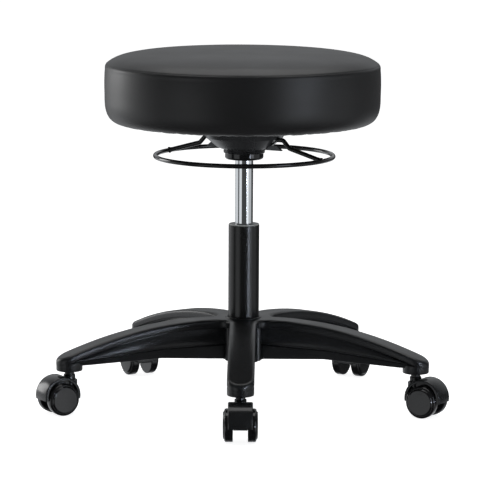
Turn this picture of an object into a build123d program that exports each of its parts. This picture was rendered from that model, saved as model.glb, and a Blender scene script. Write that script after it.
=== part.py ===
from build123d import *

import math
import os

# Adjustable swivel stool: round padded seat, gas lift with a ring lever, five-arm base on casters.
# The origin is on the swivel axis at the floor, +Z is up, +X to the right and -Y towards the front arm.
# All sizes are in millimetres and all angles in degrees.

# ---- seat cushion and what it is built on ----
SEAT_RADIUS = 213.5
SEAT_BOTTOM = 442.0
SEAT_TOP = 550.0
SEAT_TOP_ROUND = 30.0
SEAT_BOTTOM_ROUND = 24.0
COVER_THICKNESS = 1.5
COVER_FOLD_RADIUS = 168.0
BOARD_RADIUS = 186.0
BOARD_THICKNESS = 12.0
DUST_COVER_RADIUS = 180.0
DUST_COVER_THICKNESS = 0.6
STAPLE_CIRCLE = 174.0
STAPLE_COUNT = 36
STAPLE_CROWN = 10.0
STAPLE_WIRE = 0.9

# ---- seat mount: plate, cone, taper socket, collar ----
PLATE_RADIUS = 90.0
PLATE_THICKNESS = 3.0
PLATE_OPENING = 60.0
BOLT_CIRCLE = 80.0
BOLT_COUNT = 4
BOLT_SHANK = 3.0
BOLT_HEAD_RADIUS = 5.8
BOLT_HEAD_HEIGHT = 4.0
WASHER_RADIUS = 8.0
WASHER_THICKNESS = 1.0
CONE_TOP_RADIUS = 71.0
CONE_MID_RADIUS = 60.0
CONE_MID_Z = 419.0
CONE_LOW_RADIUS = 42.5
CONE_LOW_Z = 404.4
CONE_BOTTOM_RADIUS = 32.5
CONE_BOTTOM_Z = 400.6
CONE_WALL = 2.5
RIB_PITCH = 2.4
RIB_GROOVE = 0.9
SLOT_FOOT = 409.5
SOCKET_RADIUS = 19.0
SOCKET_TOP = 409.0
SOCKET_BOTTOM = 386.5
SOCKET_RIB_THICKNESS = 3.0
COLLAR_RADIUS = 29.8
COLLAR_BOTTOM = 385.0
COLLAR_TOP = 395.0
COLLAR_ROUND = 4.0

# ---- ring lever ----
LEVER_WIRE = 3.5
LEVER_RADIUS = 138.0
LEVER_Z = 390.0
CROSS_ROD_Z = 418.0
CROSS_ROD_ANGLE = -30.0
ROD_KNEE_LOW = (80.0, 406.0)
ROD_KNEE_HIGH = (69.0, 418.0)
SLOT_WIDTH = 10.0
PIVOT_RADIUS = 59.0
SLOT_TOP_CLEARANCE = 0.3
SLOT_SWING_CLEARANCE = 2.0
LUG_THICKNESS = 6.0

# ---- gas lift ----
CYLINDER_RADIUS = 14.0
CYLINDER_BORE = 11.5
CYLINDER_BOTTOM = 178.0
CYLINDER_TOP = 408.5
TAPER_START = 389.0
TAPER_DROP = 0.8
GLAND_HEIGHT = 14.0
SEAL_HEIGHT = 5.0
PLUG_BOTTOM = 385.0
PIN_RADIUS = 4.0
PIN_BOTTOM = 394.0
PIN_TOP = 414.2
PISTON_ROD_RADIUS = 5.0
PISTON_ROD_BOTTOM = 64.0
PISTON_ROD_TOP = 260.0
PISTON_BOTTOM = 244.0
PISTON_HEIGHT = 14.0
RUNNING_FIT = 0.05
PRESS_GAP = 0.02

# ---- column tube ----
COLUMN_RADIUS = 24.0
COLUMN_BORE = 22.0
COLUMN_TOP = 282.4
COLUMN_BOTTOM = 67.0
COLUMN_FOOT_RADIUS = 23.2
BUSH_BOTTOM = 200.0
BUSH_LIP = 1.6

# ---- thrust bearing at the foot of the column ----
END_PLATE_BOTTOM = 69.0
END_PLATE_TOP = 74.0
BALL_RADIUS = 2.5
BALL_CIRCLE = 9.0
BALL_COUNT = 8
BALL_Z = 79.0
RACE_RADIUS = 13.0
RACE_GAP = 1.6
RACE_LOW_TOP = BALL_Z - RACE_GAP
RACE_HIGH_BOTTOM = BALL_Z + RACE_GAP
RACE_HIGH_TOP = 84.0
BUMPER_TOP = 92.0

# ---- five-arm base ----
ARM_COUNT = 5
BASE_YAW = -0.8
STEM_CIRCLE = 280.0
ARM_WIDTH = 41.0
UPPER_WEB_WIDTH = 37.0
LOWER_WEB_WIDTH = 33.0
ARM_TOP_Z = 137.0
ARM_CREST_RADIUS = 55.0
ARM_SAG_RADIUS = 576.0
CAP_DEPTH = 12.0
BOSS_RADIUS = 20.5
BOSS_BOTTOM = 66.0
HUB_RADIUS = 37.0
HUB_BOTTOM = 73.0
HUB_SHOULDER = 125.0
ARM_WALL = 3.5
SLEEVE_RADIUS = 7.5
SLEEVE_TOP = 88.0
BELOW_ARM = 60.0
ABOVE_ARM = 150.0
ARM_MID_RADIUS = 138.0
ARM_NECK_RADIUS = STEM_CIRCLE - 22.0
ARM_END_RADIUS = STEM_CIRCLE + BOSS_RADIUS + 3.0
UNDER_LINE = [(ARM_END_RADIUS, 76.0), (ARM_NECK_RADIUS, 75.0), (ARM_MID_RADIUS, 80.5), (0.0, 72.5)]
STEP_LINE = [(ARM_END_RADIUS, 80.0), (ARM_NECK_RADIUS, 84.0), (ARM_MID_RADIUS, 96.0), (0.0, 100.0)]
ARM_BAYS = [(41.0, 96.0), (99.0, 150.0), (153.0, 204.0), (207.0, 256.5)]
CORNER_BOSS_RADIUS = 7.0

# ---- casters ----
WHEEL_RADIUS = 25.0
WHEEL_INNER = 11.0
WHEEL_TREAD = 19.0
WHEEL_OUTER = 26.5
AXLE_RADIUS = 3.0
AXLE_OFFSET = 19.5
HOOD_RADIUS = 30.0
HOOD_CENTRE_Z = 29.5
HOOD_HALF_WIDTH = 17.5
HOOD_WEB_HALF = 10.3
HOOD_EDGE_Z = 24.0
STEM_RADIUS = 5.5
STEM_COLLAR_RADIUS = 7.2
HOOD_WHEEL_WELL = 27.5
STEM_FOOT = 46.0
CASTER_HEADINGS = {"front": -90.0, "right": -30.0, "back_right": 62.0, "back_left": 118.0, "left": 210.0}


# ---------------------------------------------------------------- helpers
def disc(radius, low, high, bore=0.0):
    """Upright round bar or ring between two heights."""
    solid = Pos(0, 0, (low + high) / 2) * Cylinder(radius, high - low)
    if bore > 0:
        solid -= Pos(0, 0, (low + high) / 2) * Cylinder(bore, high - low)
    return solid


def turned(points):
    """Solid of revolution about Z from (radius, height) corners."""
    outline = Plane.XZ * make_face(Polyline(*points, close=True))
    return revolve(outline, Axis.Z)


def around(shape, count, start=0.0):
    """The same shape repeated about Z."""
    return [Rot(0, 0, start + 360.0 * k / count) * shape for k in range(count)]


def group(shapes):
    """Several separate solids as one node."""
    return Compound(children=list(shapes))


# ---------------------------------------------------------------- seat
def cushion_body(inset):
    """Round cushion with rounded edges, drawn in by inset on every side."""
    body = disc(SEAT_RADIUS - inset, SEAT_BOTTOM + inset, SEAT_TOP - inset)
    rims = body.edges().filter_by(GeomType.CIRCLE).sort_by(Axis.Z)
    body = fillet(rims[-1], SEAT_TOP_ROUND - inset)
    rims = body.edges().filter_by(GeomType.CIRCLE).sort_by(Axis.Z)
    return fillet(rims[0], SEAT_BOTTOM_ROUND - inset)


def board_bottom():
    return SEAT_BOTTOM + COVER_THICKNESS


def board_disc(radius):
    low = board_bottom()
    return disc(radius, low, low + BOARD_THICKNESS)


def bolt_places():
    return [Rot(0, 0, 45 + 90 * k) * Pos(BOLT_CIRCLE, 0, 0) for k in range(BOLT_COUNT)]


def tee_nut():
    low = board_bottom()
    flange = disc(9.0, low + BOARD_THICKNESS - 1.2, low + BOARD_THICKNESS)
    barrel = disc(4.2, low, low + BOARD_THICKNESS - 1.2)
    return flange + barrel - disc(BOLT_SHANK, low, low + BOARD_THICKNESS)


def seat_board():
    board = board_disc(BOARD_RADIUS)
    low = board_bottom()
    for place in bolt_places():
        board -= place * disc(4.2, low, low + BOARD_THICKNESS)
        board -= place * disc(9.0, low + BOARD_THICKNESS - 1.2, low + BOARD_THICKNESS)
    return board


def seat_foam():
    return cushion_body(COVER_THICKNESS) - board_disc(BOARD_RADIUS)


def seat_cover():
    opening = disc(COVER_FOLD_RADIUS, SEAT_BOTTOM - 1, SEAT_BOTTOM + COVER_THICKNESS)
    return cushion_body(0) - cushion_body(COVER_THICKNESS) - opening


def dust_cover():
    return disc(DUST_COVER_RADIUS, SEAT_BOTTOM - DUST_COVER_THICKNESS, SEAT_BOTTOM, PLATE_RADIUS + 2)


def staple():
    """U-shaped wire staple, crown under the dust cover and two legs up into the board."""
    crown_z = SEAT_BOTTOM - DUST_COVER_THICKNESS - STAPLE_WIRE / 2
    crown = Pos(STAPLE_CIRCLE, 0, crown_z) * Box(STAPLE_WIRE, STAPLE_CROWN, STAPLE_WIRE)
    shape = crown
    leg = 6.0
    for side in (-1, 1):
        y = side * (STAPLE_CROWN - STAPLE_WIRE) / 2
        shape += Pos(STAPLE_CIRCLE, y, crown_z + leg / 2) * Box(STAPLE_WIRE, STAPLE_WIRE, leg)
    return shape


# ---------------------------------------------------------------- seat mount
def plate_top():
    return board_bottom()


def plate_bottom():
    return board_bottom() - PLATE_THICKNESS


def mount_plate():
    plate = disc(PLATE_RADIUS, plate_bottom(), plate_top(), PLATE_OPENING)
    for place in bolt_places():
        plate -= place * disc(BOLT_SHANK + 0.4, plate_bottom(), plate_top())
    return plate


def rod_slot(angle, low, high):
    """Block that cuts the cone open where the cross rod passes."""
    block = Pos(PIVOT_RADIUS, 0, (low + high) / 2) * Box(40, SLOT_WIDTH, high - low)
    return Rot(0, 0, angle) * block


def lug():
    """Small triangular lug on the cone below the rod."""
    outline = Polyline((34.0, 401.5), (67.0, 401.5), (59.0, 408.5), (47.0, 408.5), close=True)
    plate = extrude(Plane.XZ * make_face(outline), LUG_THICKNESS / 2, both=True)
    return plate


def mount_cone():
    """Pressed cone between the plate and the collar, ribbed at its foot and slotted for the rod."""
    wall = CONE_WALL * math.sqrt(2)
    foot = COLLAR_TOP
    outer = [(CONE_TOP_RADIUS, plate_bottom()), (CONE_MID_RADIUS, CONE_MID_Z), (CONE_LOW_RADIUS, CONE_LOW_Z)]
    for step in range(5):
        groove = RIB_GROOVE if step % 2 else 0.0
        outer.append((CONE_BOTTOM_RADIUS - groove, CONE_BOTTOM_Z - step * RIB_PITCH / 2))
    outer.append((CONE_BOTTOM_RADIUS - 1.4, foot))
    floor_z = CONE_BOTTOM_Z - 1.5
    inner = [(SOCKET_RADIUS, foot), (SOCKET_RADIUS, floor_z), (CONE_BOTTOM_RADIUS - wall - 1.5, floor_z)]
    inner += [(CONE_BOTTOM_RADIUS - CONE_WALL, CONE_BOTTOM_Z + 0.72 * CONE_WALL)]
    inner += [(CONE_LOW_RADIUS - 0.5 * CONE_WALL, CONE_LOW_Z + 0.9 * CONE_WALL)]
    inner += [(CONE_MID_RADIUS - wall, CONE_MID_Z), (CONE_TOP_RADIUS - wall, plate_bottom())]
    shell = turned(outer + inner)
    skin = 1.0
    inside = turned([(0, foot), (CONE_BOTTOM_RADIUS - skin, foot), (CONE_BOTTOM_RADIUS - skin, CONE_BOTTOM_Z),
                     (CONE_LOW_RADIUS - skin, CONE_LOW_Z + skin), (CONE_MID_RADIUS - skin, CONE_MID_Z + skin),
                     (0, CONE_MID_Z + skin)])
    for angle in (CROSS_ROD_ANGLE, CROSS_ROD_ANGLE + 180):
        shell += Rot(0, 0, angle) * lug() - inside
    rod_top = CROSS_ROD_Z + LEVER_WIRE
    shell -= rod_slot(CROSS_ROD_ANGLE, SLOT_FOOT, rod_top + SLOT_TOP_CLEARANCE)
    shell -= rod_slot(CROSS_ROD_ANGLE + 180, SLOT_FOOT, rod_top + SLOT_SWING_CLEARANCE)
    return shell


def mount_socket():
    """Steel taper socket that grips the top of the gas cylinder."""
    top_bore = CYLINDER_RADIUS - TAPER_DROP + PRESS_GAP
    outline = [(SOCKET_RADIUS, SOCKET_BOTTOM + 2), (SOCKET_RADIUS, SOCKET_TOP), (top_bore, SOCKET_TOP)]
    bore = CYLINDER_RADIUS + PRESS_GAP
    outline += [(bore, TAPER_START), (bore, SOCKET_BOTTOM + 2)]
    return turned(outline)


def socket_ribs():
    """Four upright webs that carry the cone's load from the plate to the socket."""
    foot = CONE_BOTTOM_Z - 1.5
    outer_foot = (SOCKET_RADIUS + 7, foot)
    top = plate_bottom()
    web = Polyline((SOCKET_RADIUS, foot), outer_foot, (58.5, top), (48.5, top),
                   (SOCKET_RADIUS, SOCKET_TOP), close=True)
    plate = extrude(Plane.XZ * make_face(web), SOCKET_RIB_THICKNESS / 2, both=True)
    inside = turned([(SOCKET_RADIUS, foot + 0.1), (SOCKET_RADIUS + 7.9, foot + 0.1),
                     (CONE_MID_RADIUS - 3.7, CONE_MID_Z), (63.5, top), (SOCKET_RADIUS, top)])
    return group(around(plate & inside, 4, CROSS_ROD_ANGLE + 45))


def collar():
    """Glossy round collar over the socket, its lower edge rounded."""
    body = disc(COLLAR_RADIUS, COLLAR_BOTTOM, COLLAR_TOP)
    low_rim = body.edges().filter_by(GeomType.CIRCLE).sort_by(Axis.Z)[0]
    body = fillet(low_rim, COLLAR_ROUND)
    body -= disc(SOCKET_RADIUS + 0.05, SOCKET_BOTTOM + 2, COLLAR_TOP)
    return body - disc(CYLINDER_RADIUS + 0.4, COLLAR_BOTTOM, SOCKET_BOTTOM + 2)


def bolt():
    """Flanged pan-head bolt up through the plate into its tee nut."""
    head_top = plate_bottom() - WASHER_THICKNESS
    head = disc(BOLT_HEAD_RADIUS, head_top - BOLT_HEAD_HEIGHT, head_top)
    rim = head.edges().filter_by(GeomType.CIRCLE).sort_by(Axis.Z)[0]
    head = fillet(rim, 1.5)
    hexagon = extrude(Pos(0, 0, head_top - BOLT_HEAD_HEIGHT) * RegularPolygon(2.3, 6), 2.2)
    shank = disc(BOLT_SHANK, head_top, board_bottom() + BOARD_THICKNESS - 2)
    return head + shank - hexagon


def washer():
    return disc(WASHER_RADIUS, plate_bottom() - WASHER_THICKNESS, plate_bottom(), BOLT_SHANK + 0.2)


# ---------------------------------------------------------------- ring lever
def rod_path():
    """Centre line of the cross rod in the XZ plane, from one side of the ring to the other."""
    end = LEVER_RADIUS
    points = [(end, 0, LEVER_Z)]
    points += [(knee[0], 0, knee[1]) for knee in (ROD_KNEE_LOW, ROD_KNEE_HIGH)]
    mirrored = [(-x, y, z) for x, y, z in reversed(points)]
    return FilletPolyline(*(points + mirrored), radius=5.0)


def cross_rod():
    path = rod_path()
    section = Plane(origin=path @ 0, z_dir=path % 0) * Circle(LEVER_WIRE)
    rod = sweep(section, path=path)
    return Rot(0, 0, CROSS_ROD_ANGLE) * rod - lever_ring()


def lever_ring():
    return Pos(0, 0, LEVER_Z) * Torus(LEVER_RADIUS, LEVER_WIRE)


# ---------------------------------------------------------------- gas lift
def gas_cylinder():
    top = CYLINDER_RADIUS - TAPER_DROP
    outline = [(CYLINDER_BORE, CYLINDER_BOTTOM), (CYLINDER_RADIUS - 0.8, CYLINDER_BOTTOM)]
    outline += [(CYLINDER_RADIUS, CYLINDER_BOTTOM + 0.8), (CYLINDER_RADIUS, TAPER_START)]
    outline += [(top, CYLINDER_TOP), (CYLINDER_BORE, CYLINDER_TOP)]
    return turned(outline)


def cylinder_gland():
    low = CYLINDER_BOTTOM
    return disc(CYLINDER_BORE, low, low + GLAND_HEIGHT, PISTON_ROD_RADIUS + RUNNING_FIT)


def rod_seal():
    low = CYLINDER_BOTTOM + GLAND_HEIGHT
    return disc(CYLINDER_BORE, low, low + SEAL_HEIGHT, PISTON_ROD_RADIUS + RUNNING_FIT)


def valve_plug():
    """Valve block that closes the top of the cylinder, bored for the release pin."""
    pin_hole = disc(PIN_RADIUS + RUNNING_FIT, PIN_BOTTOM - 3, CYLINDER_TOP)
    return disc(CYLINDER_BORE, PLUG_BOTTOM, CYLINDER_TOP) - pin_hole


def release_pin():
    pin = disc(PIN_RADIUS, PIN_BOTTOM, PIN_TOP)
    rim = pin.edges().filter_by(GeomType.CIRCLE).sort_by(Axis.Z)[-1]
    return fillet(rim, 1.5)


def piston_rod():
    return disc(PISTON_ROD_RADIUS, PISTON_ROD_BOTTOM, PISTON_ROD_TOP)


def piston():
    top = PISTON_BOTTOM + PISTON_HEIGHT
    return disc(CYLINDER_BORE - RUNNING_FIT, PISTON_BOTTOM, top, PISTON_ROD_RADIUS)


def rod_clip():
    return disc(PISTON_ROD_RADIUS + 3.5, PISTON_ROD_BOTTOM + 1.5, END_PLATE_BOTTOM - 0.3, PISTON_ROD_RADIUS)


# ---------------------------------------------------------------- column and bearing
def column_outline(offset=0.0):
    """Outside of the column: straight above the base, tapered inside the hub."""
    return [(COLUMN_RADIUS + offset, COLUMN_TOP), (COLUMN_RADIUS + offset, ARM_TOP_Z),
            (COLUMN_FOOT_RADIUS + offset, COLUMN_BOTTOM)]


def column_tube():
    foot_bore = COLUMN_BORE - 1.2
    inside = [(foot_bore, COLUMN_BOTTOM), (foot_bore, END_PLATE_BOTTOM)]
    inside += [(COLUMN_BORE, END_PLATE_BOTTOM), (COLUMN_BORE, COLUMN_TOP)]
    return turned(column_outline() + inside)


def guide_bush():
    lip = disc(COLUMN_RADIUS - 0.7, COLUMN_TOP, COLUMN_TOP + BUSH_LIP, CYLINDER_RADIUS + RUNNING_FIT)
    return lip + disc(COLUMN_BORE, BUSH_BOTTOM, COLUMN_TOP, CYLINDER_RADIUS + RUNNING_FIT)


def end_plate():
    return disc(COLUMN_BORE, END_PLATE_BOTTOM, END_PLATE_TOP, PISTON_ROD_RADIUS + RUNNING_FIT)


def ball_groove():
    return Pos(0, 0, BALL_Z) * Torus(BALL_CIRCLE, BALL_RADIUS + RUNNING_FIT)


def lower_race():
    return disc(RACE_RADIUS, END_PLATE_TOP, RACE_LOW_TOP, PISTON_ROD_RADIUS + RUNNING_FIT) - ball_groove()


def upper_race():
    return disc(RACE_RADIUS, RACE_HIGH_BOTTOM, RACE_HIGH_TOP, PISTON_ROD_RADIUS) - ball_groove()


def bearing_balls():
    return group(around(Pos(BALL_CIRCLE, 0, BALL_Z) * Sphere(BALL_RADIUS), BALL_COUNT))


def ball_cage():
    cage = disc(RACE_RADIUS - 0.6, BALL_Z - 0.7, BALL_Z + 0.7, PISTON_ROD_RADIUS + 0.6)
    for hole in around(Pos(BALL_CIRCLE, 0, BALL_Z) * Sphere(BALL_RADIUS + 0.04), BALL_COUNT):
        cage -= hole
    return cage


def rubber_bumper():
    return disc(RACE_RADIUS - 1, RACE_HIGH_TOP, BUMPER_TOP, PISTON_ROD_RADIUS)


# ---------------------------------------------------------------- five-arm base
def crest_height(radius):
    """Height of the arm's top line: a large arc that starts level at the crest radius."""
    return ARM_TOP_Z - max(0.0, radius - ARM_CREST_RADIUS) ** 2 / (2 * ARM_SAG_RADIUS)


def crest_arc(drop):
    """The arm's top line, lowered by drop, from the crest to past the tip."""
    mid = (ARM_CREST_RADIUS + ARM_END_RADIUS) / 2
    points = [(radius, crest_height(radius) - drop) for radius in (ARM_CREST_RADIUS, mid, ARM_END_RADIUS)]
    return ThreePointArc(*points)


def side_band(low_points):
    """Side view of an arm between its top line and the given lower points, as a wide slab."""
    top = crest_arc(0)
    rest = Polyline(top @ 1, *low_points, (0, ARM_TOP_Z), top @ 0)
    return extrude(Plane.XZ * make_face(top + rest), 60, both=True)


def cap_band():
    """Side view of the arm's cap, the same depth all along."""
    top = crest_arc(0)
    foot = crest_arc(CAP_DEPTH)
    inner = Polyline(foot @ 0, (0, ARM_TOP_Z - CAP_DEPTH), (0, ARM_TOP_Z), top @ 0)
    face = make_face(top + foot + inner + Line(top @ 1, foot @ 1))
    return extrude(Plane.XZ * face, 60, both=True)


def arm_plan(width, low, high):
    """Upright block as wide as the arm, rounded at the tip about the caster stem."""
    length = STEM_CIRCLE
    block = Pos(length / 2, 0, (low + high) / 2) * Box(length, width, high - low)
    return block + Pos(length, 0, 0) * disc(width / 2, low, high)


def arm():
    """One arm: wide cap, upper web, narrower lower web, round boss over the stem."""
    solid = arm_plan(LOWER_WEB_WIDTH, BELOW_ARM, ABOVE_ARM) & side_band(UNDER_LINE)
    solid += arm_plan(UPPER_WEB_WIDTH, BELOW_ARM, ABOVE_ARM) & side_band(STEP_LINE)
    solid += arm_plan(ARM_WIDTH, BELOW_ARM, ABOVE_ARM) & cap_band()
    boss = Pos(STEM_CIRCLE, 0, 0) * disc(BOSS_RADIUS, BOSS_BOTTOM, ABOVE_ARM)
    return solid + (boss & side_band([(ARM_END_RADIUS, BELOW_ARM), (0, BELOW_ARM)]))


def arm_hollow():
    """Space inside an arm, open below, left between the side walls and the cross ribs."""
    inner_width = LOWER_WEB_WIDTH - 2 * ARM_WALL
    cut = None
    for low, high in ARM_BAYS:
        roof = crest_height(high) - ARM_WALL - 1.5
        middle = Pos((low + high) / 2, 0, (BELOW_ARM + roof) / 2)
        bay = middle * Box(high - low, inner_width, roof - BELOW_ARM)
        cut = bay if cut is None else cut + bay
    return cut


def base_star():
    hole = COLUMN_RADIUS + PRESS_GAP
    column_hole = turned([(0, ARM_TOP_Z + 1), (hole, ARM_TOP_Z + 1), (hole, ARM_TOP_Z),
                          (COLUMN_FOOT_RADIUS + PRESS_GAP, COLUMN_BOTTOM), (0, COLUMN_BOTTOM)])
    star = disc(HUB_RADIUS, HUB_BOTTOM, HUB_SHOULDER) + disc(HUB_RADIUS - 5, HUB_BOTTOM, ARM_TOP_Z)
    corner_boss = Pos(HUB_RADIUS - 1, 0, 0) * disc(CORNER_BOSS_RADIUS, HUB_BOTTOM, HUB_SHOULDER - 4)
    angles = [BASE_YAW - 90 + 360 * k / ARM_COUNT for k in range(ARM_COUNT)]
    for angle in angles:
        star += Rot(0, 0, angle) * arm()
    socket = Pos(STEM_CIRCLE, 0, 0) * disc(SLEEVE_RADIUS, BOSS_BOTTOM - 1, SLEEVE_TOP)
    for angle in angles:
        star -= Rot(0, 0, angle) * arm_hollow()
        star -= Rot(0, 0, angle) * socket
        star += Rot(0, 0, angle + 180 / ARM_COUNT) * corner_boss
    return star - column_hole - disc(COLUMN_FOOT_RADIUS, 60, COLUMN_BOTTOM + 1)


def stem_sleeves():
    sleeve = disc(SLEEVE_RADIUS, BOSS_BOTTOM, SLEEVE_TOP, STEM_RADIUS + RUNNING_FIT)
    return group(around(Pos(STEM_CIRCLE, 0, 0) * sleeve, ARM_COUNT, BASE_YAW - 90))


# ---------------------------------------------------------------- casters
def across(shape):
    """Turn a shape made about Z so that it lies about the axle, along Y."""
    return Pos(AXLE_OFFSET, 0, WHEEL_RADIUS) * Rot(-90, 0, 0) * shape


def caster_hood():
    """Moulded hood: a half drum over both wheels with a centre web that carries axle and stem."""
    drum = Pos(AXLE_OFFSET, 0, HOOD_CENTRE_Z) * Rot(90, 0, 0) * Cylinder(HOOD_RADIUS, 2 * HOOD_HALF_WIDTH)
    rims = drum.edges().filter_by(GeomType.CIRCLE)
    drum = fillet(rims, 2.0)
    keep = Pos(AXLE_OFFSET, 0, HOOD_EDGE_Z + 50) * Box(100, 60, 100)
    hood = drum & keep
    hood += Pos(AXLE_OFFSET, 0, WHEEL_RADIUS) * Rot(90, 0, 0) * Cylinder(7.0, 2 * HOOD_WEB_HALF)
    hood += disc(9.0, 44, 60.5)
    well_depth = HOOD_HALF_WIDTH - HOOD_WEB_HALF + 2
    for side in (-1, 1):
        y = side * (HOOD_WEB_HALF + well_depth / 2)
        hood -= Pos(AXLE_OFFSET, y, HOOD_WHEEL_WELL) * Rot(90, 0, 0) * Cylinder(HOOD_WHEEL_WELL, well_depth)
    hollow = Pos(AXLE_OFFSET, 0, 14.0) * Box(34, 2 * HOOD_WEB_HALF - 6, 24)
    hood -= hollow - Pos(AXLE_OFFSET, 0, WHEEL_RADIUS) * Rot(90, 0, 0) * Cylinder(7.0, 60)
    hood -= across(Cylinder(AXLE_RADIUS, 80))
    return hood - disc(STEM_RADIUS, STEM_FOOT, 70)


def caster_stem():
    stem = disc(STEM_RADIUS, STEM_FOOT, SLEEVE_TOP - 1.5)
    rim = stem.edges().filter_by(GeomType.CIRCLE).sort_by(Axis.Z)[-1]
    stem = fillet(rim, 1.5)
    return stem + disc(STEM_COLLAR_RADIUS, 60.5, 63.5)


def caster_axle():
    return across(Cylinder(AXLE_RADIUS, 2 * (WHEEL_OUTER - 5)))


def caster_wheel(side):
    """Twin-caster wheel with a narrow flat tread and a domed outer face, bored blind for the axle."""
    bore = AXLE_RADIUS + RUNNING_FIT
    blind = WHEEL_OUTER - 4.5
    tread = [(bore, WHEEL_INNER), (WHEEL_RADIUS - 1, WHEEL_INNER), (WHEEL_RADIUS, WHEEL_INNER + 1),
             (WHEEL_RADIUS, WHEEL_TREAD)]
    edge = Polyline(*tread)
    dome = ThreePointArc((WHEEL_RADIUS, WHEEL_TREAD), (19.0, WHEEL_TREAD + 5.0), (10.0, WHEEL_OUTER))
    close = Polyline((10.0, WHEEL_OUTER), (0, WHEEL_OUTER), (0, blind), (bore, blind), (bore, WHEEL_INNER))
    wheel = revolve(Plane.XZ * make_face(edge + dome + close), Axis.Z)
    hollow = turned([(9.0, WHEEL_INNER - 1), (20.5, WHEEL_INNER - 1), (19.5, 17.5), (9.0, 20.0)])
    wheel = wheel - hollow
    if side < 0:
        wheel = Rot(180, 0, 0) * wheel
    return across(wheel)


def caster_nodes():
    nodes = {}
    for k, (name, heading) in enumerate(CASTER_HEADINGS.items()):
        angle = math.radians(BASE_YAW - 90 + 360 * k / ARM_COUNT)
        place = Pos(STEM_CIRCLE * math.cos(angle), STEM_CIRCLE * math.sin(angle), 0) * Rot(0, 0, heading)
        nodes[f"caster_hood_{name}"] = place * caster_hood()
        nodes[f"caster_stem_{name}"] = place * caster_stem()
        nodes[f"caster_axle_{name}"] = place * caster_axle()
        nodes[f"caster_wheel_{name}_a"] = place * caster_wheel(1)
        nodes[f"caster_wheel_{name}_b"] = place * caster_wheel(-1)
    return nodes


# ---------------------------------------------------------------- the whole stool
def all_nodes():
    nodes = {
        "seat_cover": seat_cover(),
        "seat_foam": seat_foam(),
        "seat_board": seat_board(),
        "dust_cover": dust_cover(),
        "cover_staples": group(around(staple(), STAPLE_COUNT)),
        "tee_nuts": group(place * tee_nut() for place in bolt_places()),
        "mount_plate": mount_plate(),
        "mount_cone": mount_cone(),
        "mount_socket": mount_socket(),
        "socket_ribs": socket_ribs(),
        "socket_collar": collar(),
        "mount_bolts": group(place * bolt() for place in bolt_places()),
        "mount_washers": group(place * washer() for place in bolt_places()),
        "lever_ring": lever_ring(),
        "lever_cross_rod": cross_rod(),
        "gas_cylinder": gas_cylinder(),
        "cylinder_gland": cylinder_gland(),
        "rod_seal": rod_seal(),
        "valve_plug": valve_plug(),
        "release_pin": release_pin(),
        "piston_rod": piston_rod(),
        "piston": piston(),
        "rod_clip": rod_clip(),
        "column_tube": column_tube(),
        "guide_bush": guide_bush(),
        "column_end_plate": end_plate(),
        "lower_race": lower_race(),
        "upper_race": upper_race(),
        "bearing_balls": bearing_balls(),
        "ball_cage": ball_cage(),
        "rubber_bumper": rubber_bumper(),
        "base_star": base_star(),
        "stem_sleeves": stem_sleeves(),
    }
    nodes.update(caster_nodes())
    return nodes


def main():
    os.makedirs("parts", exist_ok=True)
    for name, shape in all_nodes().items():
        export_step(shape, f"parts/{name}.step")


main()
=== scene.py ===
"""Looks of the adjustable swivel stool, laid out as an add-on and run as a script."""

import math

import bmesh
import bpy
import numpy as np
from bpy.props import FloatProperty, FloatVectorProperty, IntProperty, PointerProperty, StringProperty
from mathutils import Matrix, Vector
from mathutils.bvhtree import BVHTree


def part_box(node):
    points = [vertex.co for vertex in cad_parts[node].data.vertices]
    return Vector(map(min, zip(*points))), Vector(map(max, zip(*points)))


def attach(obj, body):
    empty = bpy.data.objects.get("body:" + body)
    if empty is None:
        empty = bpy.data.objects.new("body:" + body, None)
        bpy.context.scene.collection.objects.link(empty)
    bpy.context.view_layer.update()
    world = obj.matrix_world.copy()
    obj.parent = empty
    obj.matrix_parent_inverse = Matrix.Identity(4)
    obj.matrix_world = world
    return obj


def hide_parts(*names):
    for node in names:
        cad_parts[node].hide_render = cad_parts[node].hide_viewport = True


bl_info = {
    "name": "Adjustable Swivel Stool",
    "version": (1, 0, 0),
    "blender": (4, 5, 0),
    "location": "View3D > Sidebar > Stool",
    "description": "Builds the upholstery, base, casters and studio of a swivel stool round its frame",
    "category": "Object",
}

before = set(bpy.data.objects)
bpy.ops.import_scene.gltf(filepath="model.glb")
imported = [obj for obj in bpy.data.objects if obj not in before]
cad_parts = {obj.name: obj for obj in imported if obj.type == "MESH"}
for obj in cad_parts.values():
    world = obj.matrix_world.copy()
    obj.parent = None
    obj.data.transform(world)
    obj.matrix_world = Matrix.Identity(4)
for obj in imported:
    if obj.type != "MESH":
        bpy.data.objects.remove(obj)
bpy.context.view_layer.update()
MM = 0.001
CASTERS = ("front", "right", "back_right", "back_left", "left")
ARM_COUNT = 5
FULL_TURN = 2 * math.pi


# ---------------------------------------------------------------- small tools
# A mesh is a pair here: its points in mm and its faces.
def linear(hex_colour):
    """The sRGB colour written as six hex digits, as linear RGBA."""
    parts = [int(hex_colour[i:i + 2], 16) / 255 for i in (0, 2, 4)]
    return tuple(c / 12.92 if c <= 0.04045 else ((c + 0.055) / 1.055) ** 2.4 for c in parts) + (1.0,)


def add(tree, kind, links=None, **settings):
    """Add one node, set its settings, and give each named or numbered input a value or a link."""
    made = tree.nodes.new(kind)
    for name, value in settings.items():
        setattr(made, name, value)
    for key, value in (links or {}).items():
        if isinstance(value, bpy.types.NodeSocket):
            tree.links.new(value, made.inputs[key])
        else:
            made.inputs[key].default_value = value
    return made


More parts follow.
